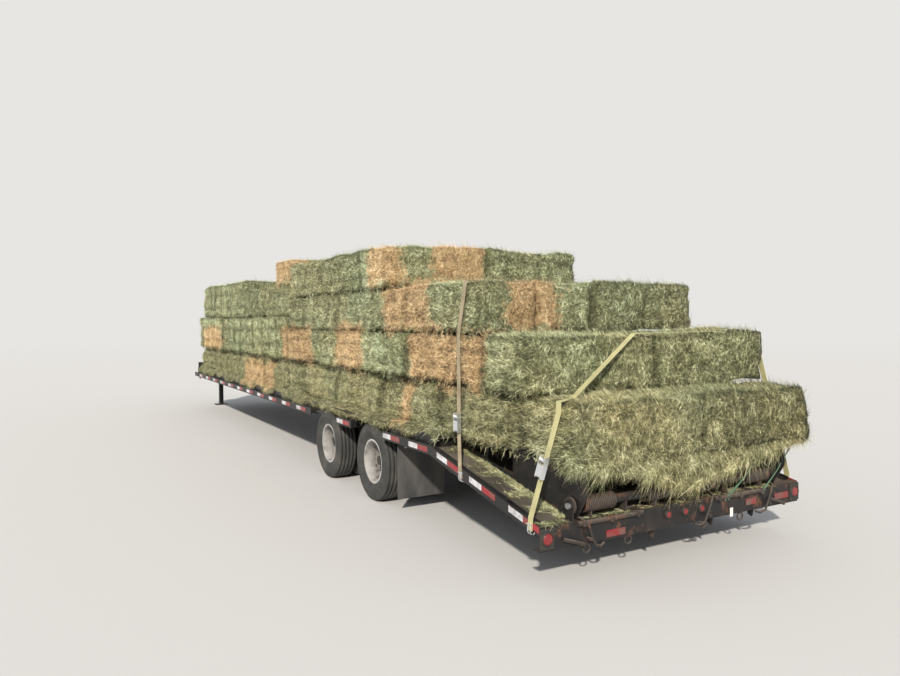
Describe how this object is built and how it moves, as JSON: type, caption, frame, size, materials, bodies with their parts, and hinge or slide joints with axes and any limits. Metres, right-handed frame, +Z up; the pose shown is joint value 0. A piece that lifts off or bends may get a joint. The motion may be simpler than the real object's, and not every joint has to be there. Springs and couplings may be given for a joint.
{
  "type": "hay wagon",
  "caption": "Low gooseneck flatbed trailer with dual wheels, a dovetail and flip-over ramps, loaded with stepped layers of hay bales under two straps.",
  "frame": {"origin": "middle of the footprint, on the ground", "axes": "+X forward to the coupler, +Y the left side, +Z up"},
  "size_m": [14.4736, 2.5976, 2.5548],
  "materials": {
    "black_paint": "satin black paint, dusty",
    "running_gear_steel": "dusty black",
    "zinc_steel": "zinc plated",
    "rim_paint": "pale grey paint",
    "hub_black": "black",
    "tyre": "dusty rubber",
    "flap_rubber": "dusty grey rubber",
    "deck_wood": "weathered boards",
    "hay": "grey-green grass hay",
    "webbing": "pale yellow webbing",
    "lamp_red": "red lens"
  },
  "bodies": {
    "chassis": {"axles": "running_gear_steel", "coupler": "black_paint", "crossmembers": "black_paint", "deck_boards": "deck_wood", "dovetail_beams": "black_paint", "dovetail_floor": "deck_wood", "front_rail": "black_paint", "hay_layer_1": "hay", "hay_layer_2": "hay", "hay_layer_3": "hay", "hay_layer_4": "hay", "landing_leg_housings": "black_paint", "landing_legs": "black_paint", "landing_shaft": "black_paint", "leaf_springs": "running_gear_steel", "main_beams": "black_paint", "mud_flap_hangers": "black_paint", "mud_flaps": "flap_rubber", "neck_beams": "black_paint", "neck_crossmembers": "black_paint", "neck_risers": "black_paint", "ramp_hinge": "black_paint", "ramp_left": "black_paint", "ramp_right": "black_paint", "rear_bumper": "black_paint", "rub_rails": "black_paint", "side_channels": "black_paint", "spring_hangers": "running_gear_steel", "spring_rockers": "running_gear_steel", "stake_pockets": "black_paint", "strap_front": "webbing", "strap_ratchets": "zinc_steel", "strap_rear": "webbing", "tail_lights": "lamp_red", "toolbox": "black_paint", "wheel_covers": "black_paint"},
    "wheel_front_left": {"tyres_front_left": "tyre", "rims_front_left": "rim_paint", "hub_front_left": "hub_black"},
    "wheel_front_right": {"tyres_front_right": "tyre", "rims_front_right": "rim_paint", "hub_front_right": "hub_black"},
    "wheel_rear_left": {"tyres_rear_left": "tyre", "rims_rear_left": "rim_paint", "hub_rear_left": "hub_black"},
    "wheel_rear_right": {"tyres_rear_right": "tyre", "rims_rear_right": "rim_paint", "hub_rear_right": "hub_black"},
    "lid": {"toolbox_lid": "black_paint"}
  },
  "joints": [
    {"name": "wheel_front_left_spin", "type": "hinge", "parent": "chassis", "child": "wheel_front_left", "pos_m": [-3.05675, 1.015, 0.38], "axis": [0, 1, 0], "continuous": true},
    {"name": "wheel_front_right_spin", "type": "hinge", "parent": "chassis", "child": "wheel_front_right", "pos_m": [-3.05675, -1.015, 0.38], "axis": [0, 1, 0], "continuous": true},
    {"name": "wheel_rear_left_spin", "type": "hinge", "parent": "chassis", "child": "wheel_rear_left", "pos_m": [-4.27675, 1.015, 0.38], "axis": [0, 1, 0], "continuous": true},
    {"name": "wheel_rear_right_spin", "type": "hinge", "parent": "chassis", "child": "wheel_rear_right", "pos_m": [-4.27675, -1.015, 0.38], "axis": [0, 1, 0], "continuous": true},
    {"name": "toolbox_lid_hinge", "type": "hinge", "parent": "chassis", "child": "lid", "pos_m": [4.79425, 0, 1.6938], "axis": [0, -1, 0], "range_deg": [0, 95]}
  ]
}
